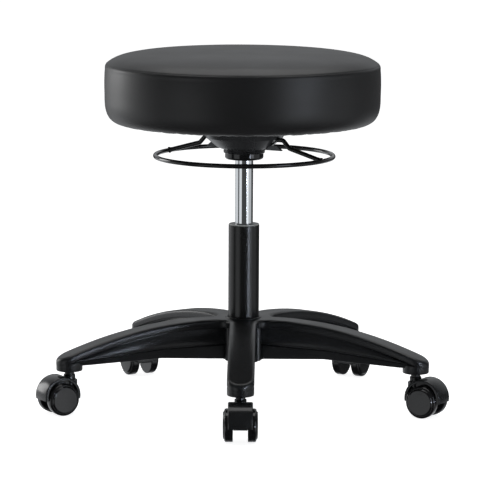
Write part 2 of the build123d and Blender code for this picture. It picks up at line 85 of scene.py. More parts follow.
def mesh_object(name, mesh, smooth=35.0):
    """Object of a mesh: welded, normals outwards, smooth but for edges over the given angle in degrees."""
    points, faces = mesh
    data = bpy.data.meshes.new(name)
    data.from_pydata([tuple(c * MM for c in p) for p in points], [], faces)
    work = bmesh.new()
    work.from_mesh(data)
    bmesh.ops.remove_doubles(work, verts=work.verts, dist=0.02 * MM)
    bmesh.ops.dissolve_degenerate(work, edges=work.edges, dist=0.001 * MM)
    bmesh.ops.recalc_face_normals(work, faces=work.faces)
    work.to_mesh(data)
    work.free()
    data.polygons.foreach_set("use_smooth", [True] * len(data.polygons))
    data.set_sharp_from_angle(angle=math.radians(smooth))
    made = bpy.data.objects.new(name, data)
    bpy.context.scene.collection.objects.link(made)
    return made


def turned_rings(profile, segments):
    """Rings of points for a (radius, height) profile turned about Z."""
    angles = [FULL_TURN * k / segments for k in range(segments)]
    return [[(r * math.cos(a), r * math.sin(a), z) for a in angles] for r, z in profile]


def skin(rows, wrap=False):
    """Mesh of quads between rows of points, closed round each row if they wrap."""
    columns = len(rows[0])
    faces = []
    for i in range(len(rows) - 1):
        for j in range(columns if wrap else columns - 1):
            k = (j + 1) % columns
            faces.append((i * columns + j, i * columns + k, (i + 1) * columns + k, (i + 1) * columns + j))
    return [p for row in rows for p in row], faces


def turned(profile, segments):
    """Mesh of a turned shape; a radius of nothing closes to a pole when welded."""
    return skin(turned_rings(profile, segments), wrap=True)


def capped(mesh, count):
    """The mesh with a face over its first row of points and one over its last."""
    points, faces = mesh
    return points, faces + [tuple(range(count))[::-1], tuple(range(len(points) - count, len(points)))]


def round_corner(centre, radius, start, end, steps):
    """Points on an arc in a (radius, height) profile, angles in degrees."""
    turn = [math.radians(start + (end - start) * k / steps) for k in range(steps + 1)]
    return [(centre[0] + radius * math.cos(t), centre[1] + radius * math.sin(t)) for t in turn]


def moved(mesh, matrix):
    return [tuple(matrix @ Vector(p)) for p in mesh[0]], mesh[1]


def shift(x, y, z):
    return Matrix.Translation((x, y, z))


def turn_about(axis, degrees):
    return Matrix.Rotation(math.radians(degrees), 4, axis)


def joined(meshes):
    """One mesh out of several."""
    points, faces = [], []
    for some_points, some_faces in meshes:
        first = len(points)
        points += some_points
        faces += [tuple(first + i for i in face) for face in some_faces]
    return points, faces


def stool():
    return bpy.context.scene.stool


# ---------------------------------------------------------------- materials
def base_material(name):
    """A new node material with its shader, object coordinates and output."""
    made = bpy.data.materials.new(name)
    made.use_nodes = True
    tree = made.node_tree
    tree.nodes.clear()
    shader = add(tree, "ShaderNodeBsdfPrincipled")
    add(tree, "ShaderNodeOutputMaterial", {"Surface": shader.outputs["BSDF"]})
    place = add(tree, "ShaderNodeTexCoord").outputs["Object"]
    return made, tree, shader, place


def per_metre(size_mm):
    """Texture scale that gives features of this size."""
    return 1000.0 / size_mm


def scuffed(tree, place, colour, scuffs):
    """The colour with sparse hairline rubs in it."""
    streak = add(tree, "ShaderNodeMapping", {"Vector": place, "Rotation": (0.5, 0.3, 0.7),
                                             "Scale": (1, 14, 3)})
    rub = add(tree, "ShaderNodeTexNoise", {"Vector": streak.outputs["Vector"], "Scale": per_metre(28.0),
                                           "Detail": 5.0})
    thin = add(tree, "ShaderNodeMapRange", {"Value": rub.outputs["Fac"], "From Min": 0.66, "From Max": 0.76,
                                            "To Max": 0.5})
    worn = add(tree, "ShaderNodeMix", {0: thin.outputs["Result"], 6: colour, 7: linear(scuffs)},
               data_type="RGBA")
    return worn.outputs[2]


def finish(name, dark, light, rough, grain, drift, cells=False, stretch=(1, 1, 1), metallic=0.0, coat=0.0,
           sheen=0.0, ior=1.5, scuffs=None):
    """Material whose colour and gloss drift over patches, with a fine relief.

    grain is the relief's size in mm, its strength and its depth in mm. drift is the patches' size in mm and
    how far the roughness strays. cells makes the relief rounded, as a leather grain or an orange peel is.
    scuffs is a colour for sparse hairline rubs.
    """
    made, tree, shader, place = base_material(name)
    grain_mm, bump, depth_mm = grain
    patch_mm, spread = drift
    spot = add(tree, "ShaderNodeMapping", {"Vector": place, "Scale": stretch}).outputs["Vector"]
    patch = add(tree, "ShaderNodeTexNoise", {"Vector": place, "Scale": per_metre(patch_mm), "Detail": 4.0})
    mixed = add(tree, "ShaderNodeMix", {0: patch.outputs["Fac"], 6: linear(dark), 7: linear(light)},
                data_type="RGBA")
    if cells:
        relief = add(tree, "ShaderNodeTexVoronoi", {"Vector": spot, "Scale": per_metre(grain_mm),
                                                    "Smoothness": 0.6}, feature="SMOOTH_F1")
    else:
        relief = add(tree, "ShaderNodeTexNoise", {"Vector": spot, "Scale": per_metre(grain_mm),
                                                  "Detail": 3.0})
    raised = add(tree, "ShaderNodeBump", {"Strength": bump, "Distance": depth_mm * MM,
                                          "Height": relief.outputs["Distance" if cells else "Fac"]})
    gloss = add(tree, "ShaderNodeMapRange", {"Value": patch.outputs["Fac"], "From Min": 0.3,
                                             "From Max": 0.7,
                                             "To Min": rough - spread, "To Max": rough + spread})
    colour = mixed.outputs[2]
    if scuffs:
        colour = scuffed(tree, place, colour, scuffs)
    tree.links.new(colour, shader.inputs["Base Color"])
    tree.links.new(gloss.outputs["Result"], shader.inputs["Roughness"])
    tree.links.new(raised.outputs["Normal"], shader.inputs["Normal"])
    shader.inputs["Metallic"].default_value = metallic
    shader.inputs["Coat Weight"].default_value = coat
    shader.inputs["Sheen Weight"].default_value = sheen
    if not metallic:
        shader.inputs["IOR"].default_value = ior
    return made


def upholstery_vinyl():
    """Calendered PVC on a knit backing, embossed with a fine pebble grain: soft satin, one even black."""
    return finish("upholstery_vinyl", stool().vinyl_colour_dark, stool().vinyl_colour_light, 0.43,
                  grain=(1.3, 0.10, 0.06), drift=(90.0, 0.03), cells=True, sheen=0.02, ior=1.53)


def bonded_thread():
    """Twisted polyester sewing thread: matt black, with a lay of about half a millimetre."""
    return finish("bonded_polyester_thread", "141416", "202023", 0.55, grain=(0.5, 0.5, 0.1),
                  drift=(20.0, 0.04))


def spark_textured_nylon():
    """Glass-filled nylon moulded against spark-eroded steel: satin black with a sandy relief and a few rubs.

    The relief is drawn coarser than such a surface is, so that it shows.
    """
    return finish("spark_textured_nylon", "090a0b", "121315", 0.34, grain=(2.4, 0.9, 0.32),
                  drift=(70.0, 0.05), scuffs="2c2e30", ior=1.53)


def moulded_nylon():
    """Unfilled nylon moulded in a drawn-polished tool: satin black with faint flow marks."""
    return finish("satin_moulded_nylon", "0e0f10", "161718", 0.22, grain=(2.2, 0.08, 0.05),
                  drift=(30.0, 0.05), stretch=(1, 1, 3), ior=1.53)


def gloss_abs():
    """ABS moulded in a mirror-polished tool: wet-looking black, with the slight ripple of a moulded skin."""
    return finish("gloss_moulded_abs", "060607", "0c0c0d", 0.10, grain=(14.0, 0.02, 0.05),
                  drift=(25.0, 0.02), ior=1.54)


def chrome_plate():
    """Hard chrome over ground steel: mirror bright, its grinding lines seen only as a slight blur."""
    return finish("hard_chrome_plate", "e2e5e8", "eceef0", 0.07, grain=(0.6, 0.015, 0.01),
                  drift=(40.0, 0.015), stretch=(1, 1, 12), metallic=1.0)


def powder_coat():
    """Polyester powder baked on steel: semi-gloss black with an orange-peel skin of about 1.5 mm."""
    return finish("powder_coated_steel", "0a0a0a", "101010", 0.25, grain=(1.5, 0.22, 0.06),
                  drift=(50.0, 0.03), cells=True)


def lacquered_wire():
    """Drawn steel wire dipped in black lacquer: glossy, with soft runs along the wire."""
    return finish("black_lacquered_wire", "090909", "101111", 0.18, grain=(6.0, 0.06, 0.05),
                  drift=(30.0, 0.04), coat=0.3)


def pressed_black_steel():
    """Pressed steel under a thin electrophoretic coat: charcoal, with the metal's shine at its edges."""
    return finish("e_coated_pressed_steel", "4a4b4d", "565759", 0.27, grain=(1.2, 0.06, 0.03),
                  drift=(35.0, 0.04), metallic=0.85)


def black_phosphate():
    """Phosphated and oiled steel: charcoal and dry, with a very fine crystal."""
    return finish("phosphated_steel", "0a0a0a", "131313", 0.34, grain=(0.5, 0.12, 0.03),
                  drift=(9.0, 0.06), ior=1.6)


def zinc_plate():
    """Zinc-plated steel with a clear passivate: bluish silver with soft spangles."""
    return finish("zinc_plated_steel", "9aa0a6", "c0c5ca", 0.33, grain=(1.6, 0.06, 0.03),
                  drift=(8.0, 0.08), metallic=1.0)


def ground_steel():
    """Cylindrically ground bearing steel: fine rings round the axis in a bright grey."""
    return finish("ground_bearing_steel", "a9abad", "c2c4c6", 0.22, grain=(0.4, 0.10, 0.01),
                  drift=(20.0, 0.04), stretch=(0.1, 0.1, 6), metallic=1.0)


def valve_aluminium():
    """Turned and clear-anodised aluminium: pale, with turning marks."""
    return finish("turned_aluminium", "b4b7ba", "cdd0d2", 0.30, grain=(0.5, 0.12, 0.02),
                  drift=(15.0, 0.05), stretch=(0.2, 0.2, 5), metallic=1.0)


def acetal_bush():
    """Natural acetal, turned: a milky grey-white with a waxy sheen."""
    return finish("natural_acetal", "8e8f8c", "a8a9a6", 0.36, grain=(0.5, 0.10, 0.03), drift=(10.0, 0.05),
                  ior=1.48)


def rubber():
    """Moulded nitrile rubber: dull black with a dusty bloom."""
    return finish("nitrile_rubber", "161616", "242424", 0.72, grain=(0.7, 0.3, 0.06), drift=(12.0, 0.06),
                  ior=1.52)


def board_plywood():
    """Rotary-cut hardwood plywood, unsanded: pale brown with grain lines along one way."""
    return finish("hardwood_plywood", "8d6f49", "b5966a", 0.62, grain=(1.2, 0.4, 0.12), drift=(9.0, 0.06),
                  stretch=(0.12, 1, 1))


def cut_foam():
    """Slab polyurethane foam, hot-wire cut: cream, with open cells of about a millimetre."""
    return finish("open_cell_foam", "c9bd94", "ded3ad", 0.9, grain=(1.1, 0.9, 0.5), drift=(40.0, 0.04),
                  cells=True, ior=1.4)


def bonded_lining():
    """Spun-bonded polypropylene lining: matt black, its point bonds in a grid of about two millimetres."""
    made, tree, shader, place = base_material("spun_bonded_lining")
    across = add(tree, "ShaderNodeMapping", {"Vector": place, "Rotation": (0, 0, math.radians(45))})
    bonds = add(tree, "ShaderNodeTexVoronoi", {"Vector": across.outputs["Vector"], "Scale": per_metre(2.2),
                                               "Randomness": 0.15}, voronoi_dimensions="2D")
    fibre = add(tree, "ShaderNodeTexNoise", {"Vector": place, "Scale": per_metre(1.0), "Detail": 5.0})
    mixed = add(tree, "ShaderNodeMath", {0: bonds.outputs["Distance"], 1: fibre.outputs["Fac"]},
                operation="ADD")
    raised = add(tree, "ShaderNodeBump", {"Strength": 0.6, "Distance": 0.15 * MM,
                                          "Height": mixed.outputs[0]})
    colour = add(tree, "ShaderNodeMix", {0: fibre.outputs["Fac"], 6: linear("121213"), 7: linear("26262a")},
                 data_type="RGBA")
    tree.links.new(colour.outputs[2], shader.inputs["Base Color"])
    tree.links.new(raised.outputs["Normal"], shader.inputs["Normal"])
    shader.inputs["Roughness"].default_value = 0.85
    return made


made_materials = {}


def material(maker):
    """The material of one maker, made once."""
    if maker not in made_materials:
        made_materials[maker] = maker()
    return made_materials[maker]


def dress(obj, maker, body, replaces=()):
    """Give a finished piece its material and its body, and hide the frame nodes that it stands for."""
    obj.data.materials.clear()
    obj.data.materials.append(material(maker))
    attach(obj, body)
    if replaces:
        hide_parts(*replaces)
    return obj


# ---------------------------------------------------------------- cushion
SEAM_RADIUS = 210.2
SEAM_Z = 537.4
WALL_RADIUS = 213.5
FOLD_RADIUS = 168.0
COVER_BASE_Z = 441.9
CUSHION_MID_Z = 490.0
# the top panel rolls over from here and comes down by this much at the seam
SHOULDER_START = 190.0
SHOULDER_DROP = 3.6
LOW_CORNER = (34.0, 45.0)
FOAM_GAP = 2.2
BOARD_CUTOUT = 189.0
BOARD_TOP = 455.6
COVER_COLUMNS = 512
PLAIN_COLUMNS = 160
MOST_RELIEF = 1.2
# the upholstered cushion is not quite centred on its plate
SEAT_SHIFT = shift(-3.0, 0, 0)


def crown_profile():
    """The top panel from its middle to the seam: (radius, height) in mm."""
    settings = stool().cushion
    steps = 34
    profile = []
    for k in range(steps + 1):
        r = SEAM_RADIUS * (1 - (1 - k / steps) ** 1.35)
        rise = settings.crown / MM * (1 - (r / SEAM_RADIUS) ** settings.crown_power)
        roll = max(0.0, (r - SHOULDER_START) / (SEAM_RADIUS - SHOULDER_START)) ** 2
        profile.append((r, SEAM_Z + rise - SHOULDER_DROP * roll))
    return profile


def side_profile():
    """The side band from the seam down, its rounded lower corner, and its tuck under the board."""
    # the seam allowance, folded down inside, lifts the band in a soft roll under the seam
    rim = [(SEAM_RADIUS + out, SEAM_Z - SHOULDER_DROP - down) for out, down in (
        (0.3, 0.5), (0.7, 1.0), (1.3, 1.6), (2.1, 2.6), (2.7, 3.9), (2.95, 5.6), (2.9, 7.4), (2.8, 9.5))]
    corner_z = COVER_BASE_Z + 44.0
    rim_z = rim[-1][1]
    wall = []
    for k in range(1, 15):
        t = k / 14
        bulge = 0.5 * math.sin(math.pi * t) - 0.35 * (1 - t)
        wall.append((WALL_RADIUS + bulge, rim_z + (corner_z - rim_z) * t))
    wide, high = LOW_CORNER
    corner = []
    for k in range(1, 21):
        t = math.pi / 2 * k / 20
        corner.append((WALL_RADIUS - wide + wide * math.cos(t) ** (2 / 3),
                       corner_z - high * math.sin(t) ** (2 / 3)))
    tuck = [(176.5, COVER_BASE_Z - 0.6), (174.5, COVER_BASE_Z - 0.1), (171.0, COVER_BASE_Z),
            (FOLD_RADIUS + 1, COVER_BASE_Z), (FOLD_RADIUS, COVER_BASE_Z + 0.5),
            (FOLD_RADIUS, COVER_BASE_Z + 1.4), (FOLD_RADIUS + 6, COVER_BASE_Z + 1.6)]
    return rim + wall + corner + tuck


def inflated_profile():
    """A plain closed shape a little inside the finished cushion, for the air pressure to fill."""
    inset = stool().cushion.start_inset / MM
    top = [(r * (SEAM_RADIUS - inset) / SEAM_RADIUS, z - inset) for r, z in crown_profile()[::3]]
    side = WALL_RADIUS - inset
    return top + [(side, SEAM_Z - 6), (side, 500), (side, 482), (side - 5, 460), (side - 16, 448),
                  (180, COVER_BASE_Z + inset), (0, COVER_BASE_Z + inset)]


def add_cloth(bag, start):
    """Give the bag a cloth solve under air pressure, held along the seam and on the board."""
    settings = stool().cushion
    held = bag.vertex_groups.new(name="held")
    radius = np.hypot(start[:, 0], start[:, 1])
    on_seam = (np.abs(start[:, 2] - (SEAM_Z - 4) * MM) < settings.voxel * 0.8) & (radius > 0.2)
    on_board = (start[:, 2] < (COVER_BASE_Z + 8) * MM) & (radius < 0.19)
    for index in np.nonzero(on_seam | on_board)[0]:
        held.add([int(index)], 1.0, "REPLACE")
    cloth = bag.modifiers.new("cloth", "CLOTH")
    for name, value in (("quality", 6), ("mass", 0.35), ("tension_stiffness", 25),
                        ("compression_stiffness", 25),
                        ("bending_stiffness", 3), ("use_pressure", True),
                        ("uniform_pressure_force", settings.pressure), ("vertex_group_mass", "held")):
        setattr(cloth.settings, name, value)
    cloth.settings.effector_weights.gravity = 0
    cloth.collision_settings.use_collision = False


def simulate_filling():
    """Inflate the plain shape as cloth, and give its points as a tree for rays."""
    settings = stool().cushion
    bag = mesh_object("cushion_bag", turned(inflated_profile(), PLAIN_COLUMNS))
    bpy.context.view_layer.objects.active = bag
    bag.select_set(True)
    remesh = bag.modifiers.new("remesh", "REMESH")
    remesh.mode = "VOXEL"
    remesh.voxel_size = settings.voxel
    bpy.ops.object.modifier_apply(modifier=remesh.name)
    start = np.array([v.co for v in bag.data.vertices])
    add_cloth(bag, start)
    scene = bpy.context.scene
    for step in range(1, 21):
        scene.frame_set(step)
    solved = bag.evaluated_get(bpy.context.evaluated_depsgraph_get())
    travel = np.array([v.co for v in solved.data.vertices]) - start
    scene.frame_set(1)
    length = np.linalg.norm(travel, axis=1, keepdims=True)
    travel *= np.minimum(1.0, settings.travel_cap / np.maximum(length, 1e-9))
    tree = BVHTree.FromPolygons([Vector(p) for p in start + travel],
                                [tuple(p.vertices) for p in bag.data.polygons])
    bpy.data.objects.remove(bag)
    return tree


def filling_relief(tree, rings):
    """How far the inflated cloth stands out from its own mean at each point of the rings, in mm."""
    rows, columns = len(rings), len(rings[0])
    relief = np.zeros((rows, columns))
    if tree is None:
        return relief
    heart = Vector((0, 0, CUSHION_MID_Z * MM))
    for i, ring in enumerate(rings):
        for j in range(0, columns, 2):
            towards = Vector(ring[j]) * MM - heart
            hit = tree.ray_cast(heart, towards.normalized())[0]
            relief[i, j] = 0.0 if hit is None else ((hit - heart).length - towards.length) / MM
        relief[i, 1::2] = (relief[i, 0::2] + np.roll(relief[i, 0::2], -1)) / 2
    relief -= relief.mean(axis=1, keepdims=True)
    # smoothed round the cushion and down it, so that no trace of the cells is left
    for _ in range(60):
        relief = (np.roll(relief, 1, axis=1) + relief * 2 + np.roll(relief, -1, axis=1)) / 4
    for _ in range(3):
        relief[1:-1] = (relief[:-2] + relief[1:-1] * 2 + relief[2:]) / 4
    return np.clip(relief * stool().cushion.unevenness, -MOST_RELIEF, MOST_RELIEF)


def tuck_gathers(profile, columns):
    """Small pleats where the cover is drawn under the board: (rows, columns) of height in mm."""
    settings = stool().cushion
    draws = np.random.default_rng(settings.seed)
    angles = np.linspace(0, FULL_TURN, columns, endpoint=False)
    wave = np.zeros(columns)
    for count in (29, 47, 83):
        wave += np.cos(count * angles + draws.uniform(0, 6.28)) / 3
    wave = np.clip(wave, -0.4, 1) * settings.gather_height / MM
    rows = np.zeros((len(profile), columns))
    for i, (r, z) in enumerate(profile):
        if z < COVER_BASE_Z + 12 and r > FOLD_RADIUS + 2:
            rows[i] = wave * math.exp(-((r - 184) / 9.0) ** 2)
    return rows


def cover_mesh():
    """The cover: crowned top panel, side band and tuck, with the softness of the inflated shape on it."""
    profile = crown_profile() + side_profile()
    rings = turned_rings(profile, COVER_COLUMNS)
    relief = filling_relief(simulate_filling(), rings)
    gathers = tuck_gathers(profile, COVER_COLUMNS)
    heart = Vector((0, 0, CUSHION_MID_Z))
    rows = []
    for ring, swell, gather in zip(rings, relief, gathers):
        row = []
        for j, point in enumerate(ring):
            p = Vector(point)
            p += (p - heart).normalized() * swell[j]
            p.z += gather[j]
            row.append(p)
        rows.append(row)
    return moved(skin(rows, wrap=True), SEAT_SHIFT)


def foam_mesh():
    """The foam under the cover, a little inside it, cut out below for the board."""
    profile = [(max(r - FOAM_GAP * (r / WALL_RADIUS) ** 6, 0.0), z - FOAM_GAP) for r, z in crown_profile()]
    for r, z in side_profile()[6:-7]:
        lift = FOAM_GAP * max(0.0, 1 - (z - COVER_BASE_Z) / 30)
        profile.append((r - FOAM_GAP, z + lift))
    profile += [(BOARD_CUTOUT, COVER_BASE_Z + 2), (BOARD_CUTOUT, BOARD_TOP), (0.0, BOARD_TOP)]
    return moved(turned(profile, PLAIN_COLUMNS), SEAT_SHIFT)


# ---------------------------------------------------------------- geometry nodes
RING_INPUTS = (("Radius", "Float"), ("Height", "Float"), ("Count", "Int"), ("Length", "Float"),
               ("Thread", "Float"), ("Depth", "Float"), ("Material", "Material"))


def ring_tree(name, piece_tree):
    """Tree that sets one small piece round a circle, each turned to the circle, and makes it real."""
    tree = bpy.data.node_groups.new(name, "GeometryNodeTree")
    tree.interface.new_socket("Geometry", in_out="INPUT", socket_type="NodeSocketGeometry")
    for label, kind in RING_INPUTS:
        tree.interface.new_socket(label, in_out="INPUT", socket_type="NodeSocket" + kind)
    tree.interface.new_socket("Geometry", in_out="OUTPUT", socket_type="NodeSocketGeometry")
    given = add(tree, "NodeGroupInput").outputs
    circle = add(tree, "GeometryNodeCurvePrimitiveCircle", {"Radius": given["Radius"], "Resolution": 256})
    spots = add(tree, "GeometryNodeResampleCurve", {"Curve": circle.outputs["Curve"],
                                                    "Count": given["Count"]})
    lift = add(tree, "ShaderNodeCombineXYZ", {"Z": given["Height"]})
    raised = add(tree, "GeometryNodeSetPosition", {"Geometry": spots.outputs[0], "Offset": lift.outputs[0]})
    along = add(tree, "GeometryNodeInputTangent")
    turn = add(tree, "FunctionNodeAlignRotationToVector", {"Vector": along.outputs[0]}, axis="Y",
               pivot_axis="Z")
    placed = add(tree, "GeometryNodeInstanceOnPoints", {"Points": raised.outputs[0],
                                                        "Instance": piece_tree(tree, given),
                                                        "Rotation": turn.outputs[0]})
    real = add(tree, "GeometryNodeRealizeInstances", {"Geometry": placed.outputs[0]})
    painted = add(tree, "GeometryNodeSetMaterial", {"Geometry": real.outputs[0],
                                                    "Material": given["Material"]})
    add(tree, "NodeGroupOutput", {"Geometry": painted.outputs[0]})
    return tree


def share_of(tree, value, share):
    """The value times a fixed share."""
    return add(tree, "ShaderNodeMath", {0: value, 1: share}, operation="MULTIPLY").outputs[0]


def corner_at(tree, y, z):
    """A corner of a small piece's path, across the circle's plane."""
    return add(tree, "ShaderNodeCombineXYZ", {"Y": y, "Z": z}).outputs[0]


def thread_tube(tree, given, path, sides):
    """The path as a round tube of the given thickness."""
    section = add(tree, "GeometryNodeCurvePrimitiveCircle", {"Radius": share_of(tree, given["Thread"], 0.5),
                                                             "Resolution": sides}).outputs[0]
    return add(tree, "GeometryNodeCurveToMesh", {"Curve": path, "Profile Curve": section,
                                                 "Fill Caps": True})


def stitch_piece(tree, given):
    """One stitch: a bowed length of thread that dives into the seam at both ends."""
    down = share_of(tree, given["Depth"], -1.0)
    start, end = (corner_at(tree, share_of(tree, given["Length"], share), down) for share in (-0.5, 0.5))
    bow = add(tree, "GeometryNodeCurveQuadraticBezier", {"Resolution": 6, "Start": start, "End": end,
                                                         "Middle": corner_at(tree, 0.0, given["Depth"])})
    tube = thread_tube(tree, given, bow.outputs[0], 6)
    return add(tree, "GeometryNodeSetShadeSmooth", {"Geometry": tube.outputs[0]}).outputs[0]


def staple_piece(tree, given):
    """One staple: a crown along the circle with two legs up into the board."""
    back, half = (share_of(tree, given["Length"], share) for share in (-0.5, 0.5))
    corners = [corner_at(tree, y, z) for y, z in ((back, given["Depth"]), (back, 0.0), (half, 0.0),
                                                  (half, given["Depth"]))]
    tubes = add(tree, "GeometryNodeJoinGeometry")
    for start, end in zip(corners[:-1], corners[1:]):
        leg = add(tree, "GeometryNodeCurvePrimitiveLine", {"Start": start, "End": end}).outputs[0]
        tree.links.new(thread_tube(tree, given, leg, 8).outputs[0], tubes.inputs[0])
    return add(tree, "GeometryNodeSetShadeSmooth", {"Geometry": tubes.outputs[0]}).outputs[0]


def ring_of_pieces(name, piece_tree, maker, values):
    """Run a ring tree with the given input values and keep its result as a plain mesh object."""
    tree = ring_tree(name + "_tree", piece_tree)
    holder = bpy.data.objects.new(name, bpy.data.meshes.new(name + "_seed"))
    bpy.context.scene.collection.objects.link(holder)
    nodes = holder.modifiers.new("pieces", "NODES")
    nodes.node_group = tree
    by_name = {item.name: item.identifier for item in tree.interface.items_tree if item.in_out == "INPUT"}
    for label, value in values.items():
        nodes[by_name[label]] = value
    nodes[by_name["Material"]] = material(maker)
    bpy.context.view_layer.update()
    depsgraph = bpy.context.evaluated_depsgraph_get()
    plain = bpy.data.meshes.new_from_object(holder.evaluated_get(depsgraph))
    holder.modifiers.remove(nodes)
    holder.data = plain
    plain.name = name
    return holder


# ---------------------------------------------------------------- base
HALF_PITCH = 180 / ARM_COUNT
TAN_HALF_PITCH = math.tan(math.radians(HALF_PITCH))
CROTCH_FILLET = 15.0
WEB_FILLET = 4.0
HALF_ARM = 20.5
EDGE_ROUND = 4.5
STEM_CIRCLE = 280.0
BORE = 24.1
HUB_RADIUS = 37.0
HUB_FOOT_Z = 73.0
HUB_ROOF_Z = 125.2
CREST_Z = 137.0
# depths below the top line: of the cap's lower edge, of the web's start, and of the hollow's roof
CAP_DEPTH = 12.0
WEB_DEPTH = 13.6
ROOF_DEPTH = 17.0
ROOF_INSET = 9.7
RIB_PLACES = (97.5, 151.5, 205.5)
RIB_THICKNESS = 3.0
BOSS_FOOT_Z = 66.0
BOSS_TOP_Z = 79.0
SLEEVE_BORE = 7.4
CORNER_BOSS = 7.0
CORNER_BOSS_CIRCLE = 36.0
# heights at distances from the axis, both in mm
UNDER_LINE = ((0, 72.5), (138, 80.5), (258, 75.0), (304, 76.0))
STEP_LINE = ((0, 100.0), (138, 96.0), (258, 84.0), (304, 80.0))


def crest(radius):
    """Height of the arms' top line at this distance from the axis, in mm."""
    return CREST_Z - max(0.0, radius - 55.0) ** 2 / 1152.0


def under_line(radius):
    """Height of the arms' lower edge."""
    return float(np.interp(radius, *zip(*UNDER_LINE)))


def step_line(radius):
    """Height of the step between the upper and the lower web."""
    return float(np.interp(radius, *zip(*STEP_LINE)))


def arm_edge(inset, fillet=CROTCH_FILLET):
    """Half of an arm's plan edge, from the corner between two arms to the tip, moved in by inset."""
    across = HALF_ARM + fillet
    centre = (across / TAN_HALF_PITCH, across)
    half = HALF_ARM - inset
    edge = round_corner(centre, fillet + inset, 180 + HALF_PITCH, 270, 8)
    edge += [(centre[0] + (STEM_CIRCLE - centre[0]) * k / 24, half) for k in range(1, 25)]
    return edge + round_corner((STEM_CIRCLE, 0), half, 90, 0, 12)[1:]


def edge_distance(point, edge):
    """Distance from a plan point to the nearest stretch of the edge."""
    best = 1e9
    for (ax, ay), (bx, by) in zip(edge[:-1], edge[1:]):
        dx, dy = bx - ax, by - ay
        t = max(0.0, min(1.0, ((point[0] - ax) * dx + (point[1] - ay) * dy) / (dx * dx + dy * dy)))
        best = min(best, math.hypot(point[0] - ax - t * dx, point[1] - ay - t * dy))
    return best


def spoke(inner, outer, share):
    """Plan point part of the way from the arm's middle line to its edge, turned about the axis."""
    radius = math.hypot(*outer)
    angle = math.atan2(outer[1], outer[0])
    r = inner + (radius - inner) * share
    return (r * math.cos(angle * share), r * math.sin(angle * share))


def half_top(edge, bore, height):
    """Half of an arm's upper face as rows of points, from the bore to the tip."""
    corner = math.hypot(*edge[0])
    inner_steps, arm_steps = 7, 32
    side = math.radians(HALF_PITCH)
    stations = []
    for k in range(inner_steps):
        r = bore + (corner - bore) * k / inner_steps
        stations.append((r, (r * math.cos(side), r * math.sin(side))))
    for k, point in enumerate(edge):
        stations.append((corner + (STEM_CIRCLE - corner) * min(1.0, k / arm_steps), point))
    rows = []
    for start, end in stations:
        length = math.hypot(end[0] - start, end[1])
        # rows crowd towards the edge, where the top rounds over
        shares = sorted({0.0, 0.3, 0.55} | {max(0.6, 1 - d / max(length, 1.0))
                                            for d in (0.0, 0.25, 0.8, 1.7, 2.9, EDGE_ROUND, 7.0)})
        while len(shares) < 10:
            shares.insert(3, (shares[2] + shares[3]) / 2)
        plans = [spoke(start, end, share) for share in shares]
        rows.append([(x, y, height((x, y))) for x, y in plans])
    return rows


def wall_levels():
    """Levels of an arm's side, on the cap and below it: (inset from the plan edge, line, rise)."""
    cap = [(0.0, crest, -EDGE_ROUND), (0.0, crest, 1.4 - CAP_DEPTH), (0.4, crest, 0.4 - CAP_DEPTH),
           (1.2, crest, -CAP_DEPTH)]
    below = [(5.0, crest, -0.3 - CAP_DEPTH), (5.2, crest, -WEB_DEPTH)]
    # the upper web leans out downwards, as moulding draft needs
    for t, inset in ((0.1, 4.3), (0.3, 3.1), (0.5, 2.3), (0.7, 1.9), (0.86, 1.9), (0.97, 2.6)):
        below.append((inset, lambda r, t=t: (1 - t) * (crest(r) - WEB_DEPTH) + t * step_line(r), 0.0))
    # a groove, then a bead that catches the light along the top of the lower web
    below += [(5.4, step_line, -0.4), (5.4, step_line, -1.3), (3.9, step_line, -2.0),
              (3.6, step_line, -2.8),
              (4.3, step_line, -3.8)]
    # the rounded foot, and the hollow's wall up to its roof
    below += [(4.5, under_line, 0.9), (4.9, under_line, 0.25), (5.5, under_line, 0.0),
              (7.3, under_line, 0.0),
              (8.0, under_line, 0.4), (8.0, crest, -2.0 - ROOF_DEPTH), (ROOF_INSET, crest, -ROOF_DEPTH)]
    return cap, below


def half_arm():
    """Half of one arm along +X: top, side, foot and the hollow inside."""
    outer = arm_edge(0.0)

    def top_height(plan):
        away = edge_distance(plan, outer)
        drop = 0.0
        if away < EDGE_ROUND:
            drop = EDGE_ROUND - math.sqrt(max(0.0, EDGE_ROUND ** 2 - (EDGE_ROUND - away) ** 2))
        return crest(math.hypot(*plan)) - drop

    def roof_height(plan):
        return crest(math.hypot(*plan)) - ROOF_DEPTH

    wall = []
    for fillet, levels in zip((CROTCH_FILLET, WEB_FILLET), wall_levels()):
        for inset, line, rise in levels:
            wall.append([(x, y, line(math.hypot(x, y)) + rise) for x, y in arm_edge(inset, fillet)])
    top = half_top(outer, BORE, top_height)
    roof = half_top(arm_edge(ROOF_INSET, WEB_FILLET), 30.0, roof_height)
    return joined([skin(top), skin(wall), skin(roof)])


def rib_plate(x):
    """Cross rib inside an arm's hollow, a thin plate from wall to wall."""
    half = HALF_ARM - 6.0
    low, high = under_line(x) + 3.0, crest(x) + 1.0 - ROOF_DEPTH
    sides = [[(x + dx, -half, low), (x + dx, half, low), (x + dx, half, high), (x + dx, -half, high)]
             for dx in (-RIB_THICKNESS / 2, RIB_THICKNESS / 2)]
    return capped(skin(sides, wrap=True), 4)


def tip_boss():
    """Round boss over the caster stem: straight side and a chamfered foot."""
    r, low = HALF_ARM - 0.2, BOSS_FOOT_Z
    profile = [(SLEEVE_BORE, low), (r - 1.6, low), (r - 0.5, low + 0.5), (r, low + 1.7), (r, BOSS_TOP_Z),
               (SLEEVE_BORE, BOSS_TOP_Z), (SLEEVE_BORE, low)]
    return moved(turned(profile, 64), shift(STEM_CIRCLE, 0, 0))


